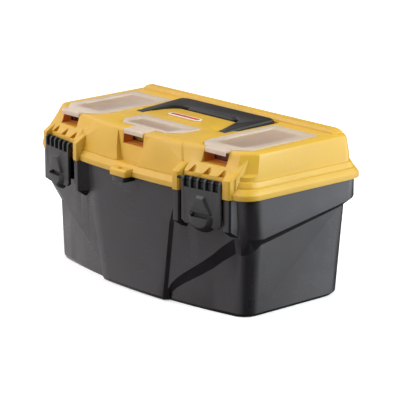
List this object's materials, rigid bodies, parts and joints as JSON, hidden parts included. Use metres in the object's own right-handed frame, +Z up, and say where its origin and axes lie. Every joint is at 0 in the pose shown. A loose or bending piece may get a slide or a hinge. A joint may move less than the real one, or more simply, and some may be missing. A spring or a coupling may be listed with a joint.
{
  "type": "toolbox with tray",
  "caption": "Moulded plastic toolbox with a hinged lid, clear-lidded organisers in its top, snap latches, a folding carry handle and a lift-out tray inside.",
  "frame": {"origin": "middle of the tub's flat base", "axes": "+X to the right along the length, -Y towards the front with the latches, +Z up"},
  "size_m": [0.42, 0.2499, 0.2185],
  "materials": {
    "tub_black": "fine textured, semi-gloss",
    "lid_yellow": "fine textured, semi-gloss",
    "latch_black": "satin",
    "handle_black": "satin",
    "lid_clear": "clear, slightly frosted inside its border",
    "tray_black": "satin",
    "badge_red": "gloss film, blank",
    "pin_black": "black oxide",
    "pin_steel": "plain drawn wire"
  },
  "bodies": {
    "tub": {"tub": "tub_black", "lid_hinge_pin_left": "pin_steel", "lid_hinge_pin_right": "pin_steel"},
    "lid": {"lid": "lid_yellow", "badge": "badge_red", "latch_pin_left": "pin_black", "latch_pin_right": "pin_black", "handle_pin_left": "pin_black", "handle_pin_right": "pin_black", "organiser_pin_left": "pin_steel", "organiser_pin_centre": "pin_steel", "organiser_pin_right": "pin_steel"},
    "carry_handle": {"carry_handle": "handle_black"},
    "latch_left": {"latch_left": "latch_black"},
    "latch_right": {"latch_right": "latch_black"},
    "organiser_lid_left": {"organiser_lid_left": "lid_clear"},
    "organiser_lid_centre": {"organiser_lid_centre": "lid_clear"},
    "organiser_lid_right": {"organiser_lid_right": "lid_clear"},
    "tray": {"tray": "tray_black"},
    "tray_divider_front": {"tray_divider_front": "tray_black"},
    "tray_divider_back": {"tray_divider_back": "tray_black"}
  },
  "joints": [
    {"name": "lid_hinge", "type": "hinge", "parent": "tub", "child": "lid", "pos_m": [0, 0.12, 0.157], "axis": [-1, 0, 0], "range_deg": [0, 100]},
    {"name": "latch_right_hinge", "type": "hinge", "parent": "lid", "child": "latch_right", "pos_m": [0.1435, -0.10556, 0.174], "axis": [-0.9875, -0.1575, 0], "range_deg": [0, 110]},
    {"name": "latch_left_hinge", "type": "hinge", "parent": "lid", "child": "latch_left", "pos_m": [-0.1435, -0.10556, 0.174], "axis": [-0.9875, 0.1575, 0], "range_deg": [0, 110]},
    {"name": "carry_handle_hinge", "type": "hinge", "parent": "lid", "child": "carry_handle", "pos_m": [0, -0.014, 0.2085], "axis": [1, 0, 0], "range_deg": [0, 90]},
    {"name": "organiser_left_hinge", "type": "hinge", "parent": "lid", "child": "organiser_lid_left", "pos_m": [-0.1405, 0.0515, 0.21041], "axis": [-1, 0, 0], "range_deg": [0, 110]},
    {"name": "organiser_centre_hinge", "type": "hinge", "parent": "lid", "child": "organiser_lid_centre", "pos_m": [-0.004, -0.0315, 0.20958], "axis": [-1, 0, 0], "range_deg": [0, 90]},
    {"name": "organiser_right_hinge", "type": "hinge", "parent": "lid", "child": "organiser_lid_right", "pos_m": [0.1405, 0.0515, 0.21041], "axis": [-1, 0, 0], "range_deg": [0, 110]},
    {"name": "tray_lift", "type": "slide", "parent": "tub", "child": "tray", "axis": [0, 0, 1], "range_m": [0, 0.025]},
    {"name": "divider_front_lift", "type": "slide", "parent": "tray", "child": "tray_divider_front", "axis": [0, 0, 1], "range_m": [0, 0.02]},
    {"name": "divider_back_lift", "type": "slide", "parent": "tray", "child": "tray_divider_back", "axis": [0, 0, 1], "range_m": [0, 0.02]}
  ]
}
